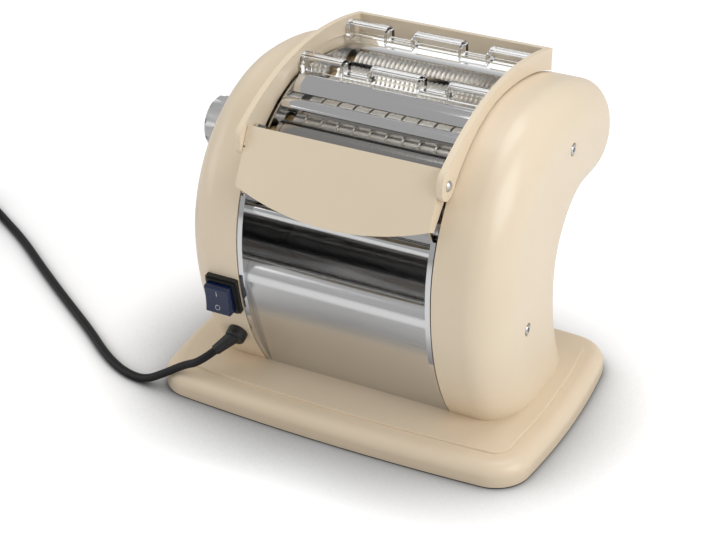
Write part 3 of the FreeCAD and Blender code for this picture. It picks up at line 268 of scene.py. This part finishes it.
# Clear guards. Two hollow channels of clear moulded plastic stand across the opening.
clear, tree, shader = principled("clear_plastic", (0.985, 0.99, 0.99), 0.03)
shader.inputs["Transmission Weight"].default_value = 1.0
shader.inputs["IOR"].default_value = 1.45
tree.links.new(spread(tree, grain(tree, 40.0), 0.015, 0.05), shader.inputs["Roughness"])
relief(tree, shader, grain(tree, 55.0, 1.0), 0.12, 0.25)
dress(clear, "clear_guard_front", "clear_guard_rear")

# Rocker switch. A dark blue glossy rocker in its black housing.
blue, tree, shader = principled("rocker_blue", (0.003, 0.011, 0.05), 0.12)
tree.links.new(spread(tree, grain(tree, 300.0), 0.08, 0.2), shader.inputs["Roughness"])
dress(blue, "switch_rocker")

# Marks of the rocker. A white bar and a white ring are printed on the rocker's face, above
# and below its middle, and tilt with it.
ink, tree, shader = principled("white_print", (0.8, 0.8, 0.8), 0.5)
tree.links.new(spread(tree, grain(tree, 600.0), 0.42, 0.58), shader.inputs["Roughness"])
rocker_middle = Vector((-95.0, -88.3, 98.6))
rocker_face_out = Vector((0, -0.9769, -0.2139))
rocker_face_up = Vector((0, -0.2139, 0.9769))
rocker_lean = Matrix.Rotation(math.radians(-7.0), 3, "X")
pin_depth = 3.0
face_middle_depth = 12.1
face_end_rise = 0.9
face_end = 10.6
print_lift = 0.06
print_thickness = 0.08
pin = rocker_middle + rocker_face_out * pin_depth


def on_rocker(across, along, out):
    """A point by the rocker's face, in metres. Along runs up the face and out runs away from the rim."""
    reach = rocker_face_up * along + rocker_face_out * (out - pin_depth)
    return (pin + rocker_lean @ (reach + Vector((across, 0, 0)))) * mm


def mark(name, outer, inner):
    """A thin print on the face, between an outer and an inner outline of points (across, along)."""
    mesh = bpy.data.meshes.new(name)
    bm = bmesh.new()
    rings = []
    for outline in (outer, inner):
        ring = []
        for across, along in outline:
            depth = face_middle_depth + face_end_rise * (along / face_end) ** 2
            ring.append(bm.verts.new(on_rocker(across, along, depth + print_lift)))
        rings.append(ring)
    count = len(outer)
    for k in range(count):
        bm.faces.new((rings[0][k], rings[0][(k + 1) % count], rings[1][(k + 1) % count], rings[1][k]))
    bmesh.ops.solidify(bm, geom=bm.faces[:], thickness=print_thickness * mm)
    bmesh.ops.recalc_face_normals(bm, faces=bm.faces)
    bm.to_mesh(mesh)
    bm.free()
    mesh.materials.append(ink)
    piece = bpy.data.objects.new(name, mesh)
    bpy.context.collection.objects.link(piece)
    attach(piece, "switch")


ring_points = 28
ring_outer = 2.3
ring_inner = 1.7
ring_drop = 6.2
angles = [2 * math.pi * k / ring_points for k in range(ring_points)]
mark("mark_off", [(ring_outer * math.cos(a), ring_outer * math.sin(a) - ring_drop) for a in angles],
     [(ring_inner * math.cos(a), ring_inner * math.sin(a) - ring_drop) for a in angles])
mark("mark_on", [(-0.35, 3.9), (0.35, 3.9), (0.35, 8.5), (-0.35, 8.5)],
     [(-0.02, 4.2), (0.02, 4.2), (0.02, 8.2), (-0.02, 8.2)])

# Worktop and light. A white sweep with a painted soft shadow, where an ambient occlusion term darkens its
# colour and its glow near the machine, a large soft lamp from the right, a weaker one from the front left,
# one above and an even white surround.
floor_mesh = bpy.data.meshes.new("worktop")
bm = bmesh.new()
bmesh.ops.create_grid(bm, x_segments=1, y_segments=1, size=6.0)
bm.to_mesh(floor_mesh)
bm.free()
worktop = bpy.data.objects.new("worktop", floor_mesh)
bpy.context.collection.objects.link(worktop)
paper, tree, shader = principled("white_paper", (0.82, 0.82, 0.82), 0.9)
# Painted shadow: ambient occlusion, sharpened by a gamma, darkens the worktop's colour near the machine as a
# soft contact shadow.
painted_shadow_ao = tree.nodes.new("ShaderNodeAmbientOcclusion")
painted_shadow_ao.inputs["Distance"].default_value = 0.12
painted_shadow_ao.samples = 12
depth = tree.nodes.new("ShaderNodeGamma")
depth.inputs["Gamma"].default_value = 2.2
tree.links.new(painted_shadow_ao.outputs["Color"], depth.inputs["Color"])
painted_shadow_colour = tree.nodes.new("ShaderNodeMix")
painted_shadow_colour.data_type = "RGBA"
painted_shadow_colour.blend_type = "MULTIPLY"
painted_shadow_colour.inputs["Factor"].default_value = 1.0
painted_shadow_colour.inputs["B"].default_value = (0.88, 0.88, 0.88, 1.0)
tree.links.new(depth.outputs["Color"], painted_shadow_colour.inputs["A"])
tree.links.new(painted_shadow_colour.outputs["Result"], shader.inputs["Base Color"])
glow = tree.nodes.new("ShaderNodeEmission")
# The glow takes the same painted shadow, so the worktop seen directly is darker round the machine.
tree.links.new(depth.outputs["Color"], glow.inputs["Color"])
rays = tree.nodes.new("ShaderNodeLightPath")
seen = tree.nodes.new("ShaderNodeMath")
seen.operation = "MAXIMUM"
tree.links.new(rays.outputs["Is Camera Ray"], seen.inputs[0])
tree.links.new(rays.outputs["Is Transmission Ray"], seen.inputs[1])
level = tree.nodes.new("ShaderNodeMath")
level.operation = "MULTIPLY"
level.inputs[1].default_value = 0.28
tree.links.new(seen.outputs[0], level.inputs[0])
tree.links.new(level.outputs[0], glow.inputs["Strength"])
both = tree.nodes.new("ShaderNodeAddShader")
tree.links.new(shader.outputs["BSDF"], both.inputs[0])
tree.links.new(glow.outputs["Emission"], both.inputs[1])
tree.links.new(both.outputs["Shader"], tree.nodes["Material Output"].inputs["Surface"])
floor_mesh.materials.append(paper)

world = bpy.data.worlds.new("surround")
bpy.context.scene.world = world
world.use_nodes = True
tree = world.node_tree
back = tree.nodes["Background"]
back.inputs["Color"].default_value = (1, 1, 1, 1)
rays = tree.nodes.new("ShaderNodeLightPath")
seen = tree.nodes.new("ShaderNodeMath")
seen.operation = "MAXIMUM"
tree.links.new(rays.outputs["Is Camera Ray"], seen.inputs[0])
tree.links.new(rays.outputs["Is Transmission Ray"], seen.inputs[1])
level = tree.nodes.new("ShaderNodeMapRange")
level.inputs["To Min"].default_value = 0.47
level.inputs["To Max"].default_value = 1.0
tree.links.new(seen.outputs[0], level.inputs["Value"])
tree.links.new(level.outputs["Result"], back.inputs["Strength"])


def soft_lamp(name, place, size, power):
    """A square area lamp that faces the machine."""
    lamp = bpy.data.objects.new(name, bpy.data.lights.new(name, "AREA"))
    lamp.data.size = size
    lamp.data.energy = power
    lamp.location = place
    lamp.rotation_euler = (Vector((0, 0, 0.12)) - Vector(place)).to_track_quat("-Z", "Y").to_euler()
    bpy.context.collection.objects.link(lamp)


soft_lamp("key", (1.5, -0.3, 0.9), 1.1, 13.0)
soft_lamp("fill", (-1.4, -0.9, 0.9), 1.2, 7.0)
soft_lamp("top", (0.1, 0.4, 1.9), 1.2, 13.0)

bpy.context.scene.view_settings.view_transform = "Standard"
